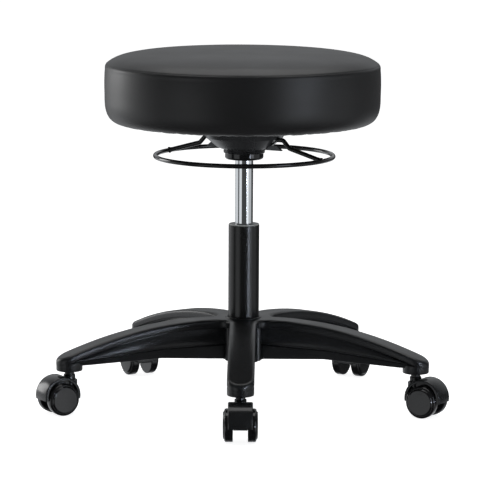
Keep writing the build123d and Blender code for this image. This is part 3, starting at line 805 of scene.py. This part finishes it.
def hub_barrel():
    """Hub round the column: bored, with a soft lip at its mouth and a rounded foot."""
    top = CREST_Z - 0.1
    profile = [(BORE, top), (BORE, HUB_FOOT_Z + 0.6), (BORE + 0.6, HUB_FOOT_Z),
               (HUB_RADIUS - 1.4, HUB_FOOT_Z),
               (HUB_RADIUS, HUB_FOOT_Z + 1.4), (HUB_RADIUS, HUB_ROOF_Z), (HUB_RADIUS - 6.0, HUB_ROOF_Z),
               (HUB_RADIUS - 6.0, CREST_Z - 5.0), (BORE + 0.3, CREST_Z - 5.0), (BORE, top)]
    return turned(profile, 96)


def corner_boss():
    """Upright round boss on the hub in the corner after an arm."""
    r = CORNER_BOSS
    profile = [(0.0, HUB_FOOT_Z), (r - 1.0, HUB_FOOT_Z), (r, HUB_FOOT_Z + 1.0), (r, HUB_ROOF_Z),
               (0.0, HUB_ROOF_Z), (0.0, HUB_FOOT_Z)]
    return moved(turned(profile, 32), turn_about("Z", HALF_PITCH) @ shift(CORNER_BOSS_CIRCLE, 0, 0))


def hub_lip():
    """Low raised bead round the column where the tube enters the hub."""
    foot = CREST_Z - 0.4
    profile = [(BORE, foot)] + round_corner((26.3, CREST_Z - 0.2), 1.9, 180, 0, 10) + [(28.2, foot),
                                                                                       (BORE, foot)]
    return turned([(max(r, BORE), z) for r, z in profile], 96)


def star_mesh():
    """The whole five-arm moulding about the swivel axis."""
    half = half_arm()
    mirrored = moved(half, Matrix.Diagonal((1, -1, 1, 1)))
    arm = joined([half, (mirrored[0], [face[::-1] for face in mirrored[1]])]
                 + [rib_plate(x) for x in RIB_PLACES] + [tip_boss()])
    parts = [hub_barrel(), hub_lip()]
    for k in range(ARM_COUNT):
        turn = turn_about("Z", stool().base.yaw_degrees - 90 + 360 / ARM_COUNT * k)
        parts += [moved(arm, turn), moved(corner_boss(), turn)]
    return joined(parts)


# ---------------------------------------------------------------- casters
AXLE_OFFSET = 19.5
AXLE_Z = 25.0
AXLE_BORE = 3.1
WHEEL_RADIUS = 25.0
WHEEL_INNER_FACE = 11.0
CAP_RADIUS = 18.0
CAP_FACE = 25.75
CAP_DOME = 0.3
HOOD_Z = 29.5
HOOD_HALF = 18.5
HOOD_RADIUS = 30.0
HOOD_WALL = 2.2
HOOD_EDGE = 2.0
HOOD_LIP_Z = 24.0
WEB_RADIUS = 29.0
WEB_HALF = 10.3
AXLE_BOSS = 7.0


def wheel_profile():
    """Tread, shoulder and cap of one wheel: (radius, distance from the middle of the caster) in mm."""
    profile = [(AXLE_BORE, WHEEL_INNER_FACE), (22.6, WHEEL_INNER_FACE)]
    profile += round_corner((WHEEL_RADIUS - 1.2, WHEEL_INNER_FACE + 1.2), 1.2, 270, 360, 4)
    # the mould's parting groove round the tread
    profile += [(WHEEL_RADIUS, 17.6), (WHEEL_RADIUS - 0.3, 17.9), (WHEEL_RADIUS - 0.3, 18.3),
                (WHEEL_RADIUS, 18.6)]
    profile += round_corner((WHEEL_RADIUS - 3.3, 20.6), 3.3, 0, 78, 7)
    # the cap: a nearly flat disc with a wide bevelled rim, pressed into the shoulder
    profile += [(21.9, 23.2), (21.5, 23.2), (21.3, 23.9), (19.7, 25.5), (19.3, 25.7), (18.7, CAP_FACE)]
    for k in range(7):
        share = 1 - k / 6
        profile.append((CAP_RADIUS * share, CAP_FACE + CAP_DOME * (1 - share ** 2)))
    return profile + [(0.0, 15.0), (AXLE_BORE, 15.0), (AXLE_BORE, WHEEL_INNER_FACE)]


def caster_place(name):
    """Matrix from a caster's own frame (stem on Z, axle along Y behind it) to the stool's, in mm."""
    low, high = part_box(f"caster_stem_{name}")
    stem = (low + high) / 2
    low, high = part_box(f"caster_axle_{name}")
    axle = (low + high) / 2
    heading = math.atan2(axle.y - stem.y, axle.x - stem.x)
    return shift(stem.x / MM, stem.y / MM, 0) @ Matrix.Rotation(heading, 4, "Z")


def wheel_mesh(side):
    """One wheel; side is 1 or -1 along the axle."""
    about_axle = shift(AXLE_OFFSET, 0, AXLE_Z) @ turn_about("X", -90)
    return moved(turned(wheel_profile(), 96), about_axle @ Matrix.Diagonal((1, 1, side, 1)))


def lip_to_lip(radius, steps):
    """Angles of a drum's section from the front lip round the top to the back lip."""
    start = -math.asin((HOOD_Z - HOOD_LIP_Z) / radius)
    return [start + (math.pi - 2 * start) * k / steps for k in range(steps + 1)]


def hood_section(steps=4):
    """Outside of the hood across its width, from one rim to the other: (distance inwards, across) in mm."""
    left = []
    for k in range(steps + 1):
        a = math.pi / 2 * k / steps
        left.append((HOOD_EDGE * (1 - math.sin(a)), HOOD_EDGE * (1 - math.cos(a)) - HOOD_HALF))
    return left + [(d, -y) for d, y in left[::-1]]


def hood_shell():
    """The drum of the hood over both wheels, from its front lip round the top to its back lip."""
    outside = hood_section()
    loop = outside + [(d + HOOD_WALL, y * 0.999) for d, y in outside[::-1]]
    rows = []
    for a in lip_to_lip(HOOD_RADIUS, 48):
        rows.append([(AXLE_OFFSET + (HOOD_RADIUS - inwards) * math.cos(a), y,
                      HOOD_Z + (HOOD_RADIUS - inwards) * math.sin(a)) for inwards, y in loop])
    return capped(skin(rows, wrap=True), len(loop))


def hood_web():
    """Plate between the wheels: fills the drum down to its lips and carries the axle."""
    outline = [(AXLE_OFFSET + WEB_RADIUS * math.cos(a), HOOD_Z + WEB_RADIUS * math.sin(a))
               for a in lip_to_lip(WEB_RADIUS, 40)]
    outline += round_corner((AXLE_OFFSET, HOOD_LIP_Z), AXLE_BOSS, 180, 360, 12)
    sides = [[(x, y, z) for x, z in outline] for y in (-WEB_HALF, WEB_HALF)]
    return capped(skin(sides, wrap=True), len(outline))


def hood_neck():
    """Round neck that takes the stem, blended into the drum by a small flare."""
    profile = [(5.6, 46.0), (5.6, 60.5), (8.4, 60.5), (9.0, 59.9), (9.0, 55.0)]
    profile += round_corner((12.0, 55.0), 3.0, 180, 270, 5) + [(12.0, 46.0), (5.6, 46.0)]
    return turned(profile, 48)


# ---------------------------------------------------------------- welds and lining
WELD_SPOT = Vector((138.0, 0, 390.0))
ROD_BEND = Vector((80.0, 0, 406.0))
WELD_COLUMNS = 28
LINING_Z = 441.55
LINING_HOLE = 93.0
LINING_THICKNESS = 0.35
LINING_COLUMNS = 216


def weld_bead(angle_degrees):
    """Ripple-surfaced fillet weld where the cross rod meets the ring."""
    rod = (ROD_BEND - WELD_SPOT).normalized()
    side = Vector((0, 1, 0))
    up = rod.cross(side)
    rows = []
    for k in range(11):
        t = k / 10
        middle = WELD_SPOT + rod * (2.2 + 5.0 * t)
        swell = 3.45 + 1.5 * (1 - t) ** 1.4 + 0.18 * math.sin(9.5 * t * math.pi)
        row = []
        for j in range(WELD_COLUMNS):
            a = FULL_TURN * j / WELD_COLUMNS
            r = swell + 0.12 * math.sin(3 * a + 2.0 * k)
            row.append(tuple(middle + side * (r * math.cos(a)) + up * (r * math.sin(a))))
        rows.append(row)
    return moved(capped(skin(rows, wrap=True), WELD_COLUMNS), turn_about("Z", angle_degrees))


def lining_mesh():
    """The lining under the seat: a thin sheet turned in at its rim, drawn a little between its staples."""
    settings = stool()
    draws = np.random.default_rng(settings.cushion.seed + 1)
    phase = draws.uniform(0, 6.28, 3)
    radii = [92.5, 93.5, 100, 110, 122, 135, 148, 160, 168, 172, 174, 176, 178, 179.4, 180]
    rows = []
    for thick, side in ((0.0, radii), (LINING_THICKNESS, radii[::-1])):
        for r in side:
            free = math.sin(math.pi * min(1.0, max(0.0, (r - LINING_HOLE) / 79.0)))
            near_staples = 0.12 * math.exp(-((r - 178) / 4.0) ** 2)
            row = []
            for k in range(LINING_COLUMNS):
                a = FULL_TURN * k / LINING_COLUMNS
                sag = free * (0.9 + 0.35 * math.sin(5 * a + phase[0]) + 0.2 * math.sin(11 * a + phase[1]))
                pull = near_staples * math.cos(settings.base.staple_count * a)
                row.append((r * math.cos(a), r * math.sin(a), LINING_Z - sag - pull + thick))
            rows.append(row)
    return skin(rows + rows[:1], wrap=True)


# ---------------------------------------------------------------- settings
class CushionSettings(bpy.types.PropertyGroup):
    crown: FloatProperty(name="Crown", description="Rise of the top panel over the seam", default=0.0148,
                         unit="LENGTH")
    crown_power: FloatProperty(name="Crown shape", description="Higher is flatter in the middle",
                               default=6.0)
    pressure: FloatProperty(name="Pressure", description="Filling pressure in the cloth solve", default=4.0)
    voxel: FloatProperty(name="Cell", description="Cell of the inflated mesh", default=0.006, unit="LENGTH")
    start_inset: FloatProperty(name="Start inset", description="How far inside the solve starts",
                               default=0.004,
                               unit="LENGTH")
    travel_cap: FloatProperty(name="Travel cap", description="Most that a point may move", default=0.010,
                              unit="LENGTH")
    unevenness: FloatProperty(name="Unevenness", description="Share of the cloth's relief kept",
                              default=0.6,
                              subtype="FACTOR")
    gather_height: FloatProperty(name="Gather height", description="Height of the pleats under the rim",
                                 default=0.0012, unit="LENGTH")
    stitch_length: FloatProperty(name="Stitch", description="Length of one stitch", default=0.0036,
                                 unit="LENGTH")
    thread: FloatProperty(name="Thread", description="Thread thickness", default=0.0005, unit="LENGTH")
    seed: IntProperty(name="Seed", description="Seed of the pleats", default=7)


class BaseSettings(bpy.types.PropertyGroup):
    yaw_degrees: FloatProperty(name="Turn", description="Turn of the base about the swivel axis, in degrees",
                               default=-0.8)
    staple_count: IntProperty(name="Staples", description="Staples round the lining", default=36)
    staple_crown: FloatProperty(name="Staple crown", description="Width of one staple", default=0.0091,
                                unit="LENGTH")


class StageSettings(bpy.types.PropertyGroup):
    camera_distance: FloatProperty(name="Camera distance", description="From the axis", default=5.0,
                                   unit="LENGTH")
    camera_height: FloatProperty(name="Camera height", description="Above the floor", default=0.98,
                                 unit="LENGTH")
    aim_height: FloatProperty(name="Aim height", description="Height the camera looks at", default=0.254,
                              unit="LENGTH")
    lens: FloatProperty(name="Lens", description="Focal length in mm", default=241.0)
    roll_degrees: FloatProperty(name="Roll", description="Camera roll in degrees", default=-0.28)
    world: FloatProperty(name="Fill", description="Strength of the surrounding light", default=0.12)
    floor_colour: FloatVectorProperty(name="Floor", description="Colour of the floor", subtype="COLOR",
                                      size=3,
                                      default=(0.92, 0.92, 0.92))


class StoolSettings(bpy.types.PropertyGroup):
    cushion: PointerProperty(type=CushionSettings)
    base: PointerProperty(type=BaseSettings)
    stage: PointerProperty(type=StageSettings)
    vinyl_colour_dark: StringProperty(name="Vinyl, dark",
                                      description="sRGB hex of the vinyl's darker patches",
                                      default="101011")
    vinyl_colour_light: StringProperty(name="Vinyl, light",
                                       description="sRGB hex of the vinyl's lighter patches",
                                       default="141415")


# ---------------------------------------------------------------- operators
STITCH_GAP = 0.6
STAPLE_CIRCLE = 0.174
STAPLE_WIRE = 0.0009


class STOOL_OT_cushion(bpy.types.Operator):
    """Make the upholstered cushion cover over the foam"""
    bl_idname = "stool.cushion"
    bl_label = "Seat cushion"

    def execute(self, context):
        cover = mesh_object("seat_vinyl_cover", cover_mesh(), smooth=60.0)
        dress(cover, upholstery_vinyl, "seat", ["seat_cover"])
        foam = mesh_object("seat_foam_block", foam_mesh(), smooth=50.0)
        dress(foam, cut_foam, "seat", ["seat_foam"])
        return {"FINISHED"}


class STOOL_OT_seam(bpy.types.Operator):
    """Sew the row of stitches along the seam of the top panel"""
    bl_idname = "stool.seam"
    bl_label = "Seam stitches"

    def execute(self, context):
        settings = stool().cushion
        radius = (SEAM_RADIUS + 0.5) * MM
        pitch = settings.stitch_length + STITCH_GAP * MM
        values = {"Radius": radius, "Height": (SEAM_Z - SHOULDER_DROP - 0.75) * MM,
                  "Count": round(FULL_TURN * radius / pitch), "Length": settings.stitch_length,
                  "Thread": settings.thread, "Depth": 0.0003}
        row = ring_of_pieces("seam_stitches", stitch_piece, bonded_thread, values)
        row.data.transform(shift(*SEAT_SHIFT.translation * MM))
        dress(row, bonded_thread, "seat")
        return {"FINISHED"}


class STOOL_OT_lining(bpy.types.Operator):
    """Stretch the lining under the seat and staple it"""
    bl_idname = "stool.lining"
    bl_label = "Lining and staples"

    def execute(self, context):
        sheet = mesh_object("seat_lining", lining_mesh(), smooth=50.0)
        dress(sheet, bonded_lining, "seat", ["dust_cover"])
        low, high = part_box("cover_staples")
        settings = stool().base
        values = {"Radius": STAPLE_CIRCLE, "Height": low.z + STAPLE_WIRE / 2,
                  "Count": settings.staple_count,
                  "Length": settings.staple_crown, "Thread": STAPLE_WIRE, "Depth": high.z - low.z - 0.001}
        staples = ring_of_pieces("lining_staples", staple_piece, zinc_plate, values)
        dress(staples, zinc_plate, "seat", ["cover_staples"])
        return {"FINISHED"}


class STOOL_OT_base(bpy.types.Operator):
    """Mould the five-arm base"""
    bl_idname = "stool.base"
    bl_label = "Five-arm base"

    def execute(self, context):
        star = mesh_object("base_moulding", star_mesh(), smooth=40.0)
        dress(star, spark_textured_nylon, "base", ["base_star"])
        return {"FINISHED"}


class STOOL_OT_welds(bpy.types.Operator):
    """Lay the weld beads where the cross rod meets the ring"""
    bl_idname = "stool.welds"
    bl_label = "Lever welds"

    def execute(self, context):
        beads = mesh_object("lever_weld_beads", joined([weld_bead(-30), weld_bead(150)]), smooth=70.0)
        dress(beads, lacquered_wire, "ring_lever")
        return {"FINISHED"}


class STOOL_OT_casters(bpy.types.Operator):
    """Make the hoods and the capped wheels of the five casters"""
    bl_idname = "stool.casters"
    bl_label = "Casters"

    def execute(self, context):
        for name in CASTERS:
            place = caster_place(name)
            hood = joined([hood_shell(), hood_web(), hood_neck()])
            hood = mesh_object(f"hood_{name}", moved(hood, place), smooth=38.0)
            dress(hood, moulded_nylon, f"caster_{name}", [f"caster_hood_{name}"])
            for letter, side in (("a", 1), ("b", -1)):
                wheel = mesh_object(f"wheel_{name}_{letter}", moved(wheel_mesh(side), place), smooth=30.0)
                dress(wheel, gloss_abs, f"wheel_{name}_{letter}",
                      [f"caster_wheel_{name}_{letter}"])
        return {"FINISHED"}


FRAME_FINISHES = (
    (board_plywood, ("seat_board",)),
    (zinc_plate, ("tee_nuts", "mount_bolts", "mount_washers", "stem_sleeves", "rod_clip",
                  "column_end_plate")),
    (pressed_black_steel, ("mount_plate", "mount_cone", "mount_socket", "socket_ribs")),
    (gloss_abs, ("socket_collar",)),
    (lacquered_wire, ("lever_ring", "lever_cross_rod")),
    (chrome_plate, ("gas_cylinder",)),
    (ground_steel, ("piston_rod", "lower_race", "upper_race", "bearing_balls", "release_pin")),
    (valve_aluminium, ("valve_plug", "cylinder_gland")),
    (rubber, ("rod_seal", "rubber_bumper")),
    (powder_coat, ("column_tube",)),
    (acetal_bush, ("guide_bush", "ball_cage", "piston")),
    (black_phosphate, tuple(f"caster_{part}_{name}" for name in CASTERS for part in ("stem", "axle"))),
)


class STOOL_OT_finishes(bpy.types.Operator):
    """Give the turned, pressed and drawn pieces of the frame their finishes"""
    bl_idname = "stool.finishes"
    bl_label = "Metal and plastic finishes"

    def execute(self, context):
        for maker, names in FRAME_FINISHES:
            for name in names:
                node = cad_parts[name]
                node.data.materials.clear()
                node.data.materials.append(material(maker))
        return {"FINISHED"}


# ---------------------------------------------------------------- stage
# low white cards round the stool: from and to, in degrees from the front, and brightness
CARDS = ((-152, -82, 0.7), (-64, -30, 0.8), (33, 60, 1.05), (60, 104, 0.52))
# soft boxes: place and aim in metres, width and height in metres, power in watts, colour, spread in degrees
SOFT_BOXES = (
    ("top_box", (0.0, 0.3, 2.6), (0, 0, 0.3), (3.0, 2.2), 34, "ffffff", 180),
    ("left_box", (-2.5, 1.5, 0.8), (0, 0, 0.4), (1.1, 1.4), 17, "ffffff", 180),
    ("right_box", (2.15, -1.8, 0.7), (0, 0, 0.35), (0.9, 1.3), 9, "e9f1ff", 180),
    ("low_strip", (1.72, -2.56, 0.06), (-0.1, -0.05, 0.06), (1.8, 0.16), 0.6, "dfeaff", 14),
)
FLOOR_REACH = 40.0
FLOOR_GLOW = 0.9
CAMERA_X = -0.0021


def area_light(name, place, aim, size, power, colour, spread):
    """Soft box: a rectangular light at a place, turned to its aim."""
    data = bpy.data.lights.new(name, "AREA")
    data.shape = "RECTANGLE"
    data.size, data.size_y = size
    data.energy = power
    data.color = linear(colour)[:3]
    data.spread = math.radians(spread)
    lamp = bpy.data.objects.new(name, data)
    lamp.location = place
    lamp.rotation_euler = (Vector(aim) - Vector(place)).to_track_quat("-Z", "Y").to_euler()
    bpy.context.scene.collection.objects.link(lamp)


def floor_object():
    """Pale glowing floor that no reflection shows, so that it doesn't grey the glossy black pieces."""
    reach = FLOOR_REACH
    mesh = bpy.data.meshes.new("floor")
    mesh.from_pydata([(-reach, -reach, 0), (reach, -reach, 0), (reach, reach, 0), (-reach, reach, 0)], [],
                     [(0, 1, 2, 3)])
    made = bpy.data.objects.new("floor", mesh)
    bpy.context.scene.collection.objects.link(made)
    pale, _, shader, _ = base_material("floor_paint")
    shader.inputs["Base Color"].default_value = tuple(stool().stage.floor_colour) + (1.0,)
    shader.inputs["Roughness"].default_value = 0.9
    shader.inputs["Specular IOR Level"].default_value = 0.0
    shader.inputs["Emission Color"].default_value = (1, 1, 1, 1)
    shader.inputs["Emission Strength"].default_value = FLOOR_GLOW
    mesh.materials.append(pale)
    made.visible_glossy = False


def card_glow(tree, turn):
    """Brightness of the cards at a turn round the stool."""
    total = 0.0
    for start, end, strength in CARDS:
        middle, half = math.radians((start + end) / 2), math.radians((end - start) / 2)
        away = add(tree, "ShaderNodeMath", {0: turn, 1: middle}, operation="SUBTRACT").outputs[0]
        away = add(tree, "ShaderNodeMath", {0: away}, operation="ABSOLUTE").outputs[0]
        card = add(tree, "ShaderNodeMapRange", {"Value": away, "From Min": half + 0.05,
                                                "From Max": half - 0.05,
                                                "To Min": 0.0, "To Max": strength})
        total = add(tree, "ShaderNodeMath", {0: card.outputs["Result"], 1: total},
                    operation="ADD").outputs[0]
    return total


def studio_glow(tree, look, fill):
    """Strength of the surroundings: a soft fill, the low cards, and the wall and floor behind the stool."""
    split = add(tree, "ShaderNodeSeparateXYZ", {"Vector": look}).outputs
    front = add(tree, "ShaderNodeMath", {0: split["Y"], 1: -1.0}, operation="MULTIPLY").outputs[0]
    turn = add(tree, "ShaderNodeMath", {0: split["X"], 1: front}, operation="ARCTAN2").outputs[0]
    horizon = add(tree, "ShaderNodeMath", {0: split["Z"], 1: 0.07}, operation="ADD").outputs[0]
    horizon = add(tree, "ShaderNodeMath", {0: horizon}, operation="ABSOLUTE").outputs[0]
    share = {"cards": card_glow(tree, turn)}
    for label, source, start, end, low, high in (
            ("over", split["Z"], 0.06, -0.03, 0.0, 1.0), ("under", split["Z"], -0.6, -0.3, 0.0, 1.0),
            ("behind", split["Y"], 0.4, 0.8, 0.0, 0.45), ("floor", split["Z"], -0.25, -0.5, 1.0, 2.0),
            ("dark_gap", horizon, 0.1, 0.24, 0.0, 1.0), ("sky", split["Z"], -0.5, 0.6, 0.35 * fill, fill)):
        ramp = add(tree, "ShaderNodeMapRange", {"Value": source, "From Min": start, "From Max": end,
                                                "To Min": low, "To Max": high})
        share[label] = ramp.outputs["Result"]
    total = share["sky"]
    for factors in (("cards", "over", "under"), ("behind", "floor", "dark_gap")):
        glow = share[factors[0]]
        for factor in factors[1:]:
            glow = add(tree, "ShaderNodeMath", {0: glow, 1: share[factor]}, operation="MULTIPLY").outputs[0]
        total = add(tree, "ShaderNodeMath", {0: total, 1: glow}, operation="ADD").outputs[0]
    return total


def studio_world(fill):
    """The surroundings: their glow, and plain white where the camera sees past the floor."""
    world = bpy.data.worlds.new("studio")
    world.use_nodes = True
    tree = world.node_tree
    tree.nodes.clear()
    look = add(tree, "ShaderNodeTexCoord").outputs["Generated"]
    seen = add(tree, "ShaderNodeLightPath").outputs["Is Camera Ray"]
    strength = add(tree, "ShaderNodeMath", {0: studio_glow(tree, look, fill), 1: seen},
                   operation="ADD").outputs[0]
    glow = add(tree, "ShaderNodeBackground", {"Color": linear("f2f5f8"), "Strength": strength})
    add(tree, "ShaderNodeOutputWorld", {"Surface": glow.outputs[0]})
    return world


class STOOL_OT_stage(bpy.types.Operator):
    """Set the pale floor, the soft lights and the camera"""
    bl_idname = "stool.stage"
    bl_label = "Stage"

    def execute(self, context):
        settings = stool().stage
        scene = bpy.context.scene
        floor_object()
        scene.world = studio_world(settings.world)
        for box in SOFT_BOXES:
            area_light(*box)
        lens = bpy.data.cameras.new("camera")
        lens.lens = settings.lens
        lens.sensor_width = 36.0
        lens.clip_end = 200.0
        camera = bpy.data.objects.new("camera", lens)
        camera.location = (CAMERA_X, -settings.camera_distance, settings.camera_height)
        aim = Vector((CAMERA_X, 0, settings.aim_height)) - camera.location
        roll = Matrix.Rotation(math.radians(-settings.roll_degrees), 3, "Z")
        camera.rotation_euler = (aim.to_track_quat("-Z", "Y").to_matrix() @ roll).to_euler()
        scene.collection.objects.link(camera)
        scene.camera = camera
        scene.view_settings.view_transform = "Standard"
        scene.view_settings.look = "None"
        return {"FINISHED"}


class STOOL_PT_panel(bpy.types.Panel):
    """Lists the stool's pieces"""
    bl_label = "Swivel Stool"
    bl_idname = "STOOL_PT_panel"
    bl_space_type = "VIEW_3D"
    bl_region_type = "UI"
    bl_category = "Stool"

    def draw(self, context):
        for maker in OPERATORS:
            self.layout.operator(maker.bl_idname)
        for group in (context.scene.stool.cushion, context.scene.stool.base, context.scene.stool.stage):
            box = self.layout.box()
            for name in group.__annotations__:
                box.prop(group, name)


OPERATORS = (STOOL_OT_cushion, STOOL_OT_seam, STOOL_OT_lining, STOOL_OT_base, STOOL_OT_welds,
             STOOL_OT_casters,
             STOOL_OT_finishes, STOOL_OT_stage)
CLASSES = (CushionSettings, BaseSettings, StageSettings, StoolSettings) + OPERATORS + (STOOL_PT_panel,)


def register():
    for group in CLASSES:
        bpy.utils.register_class(group)
    bpy.types.Scene.stool = PointerProperty(type=StoolSettings)


def unregister():
    del bpy.types.Scene.stool
    for group in reversed(CLASSES):
        bpy.utils.unregister_class(group)


def main():
    register()
    for maker in OPERATORS:
        _, name = maker.bl_idname.split(".")
        getattr(bpy.ops.stool, name)()


if __name__ == "__main__":
    main()
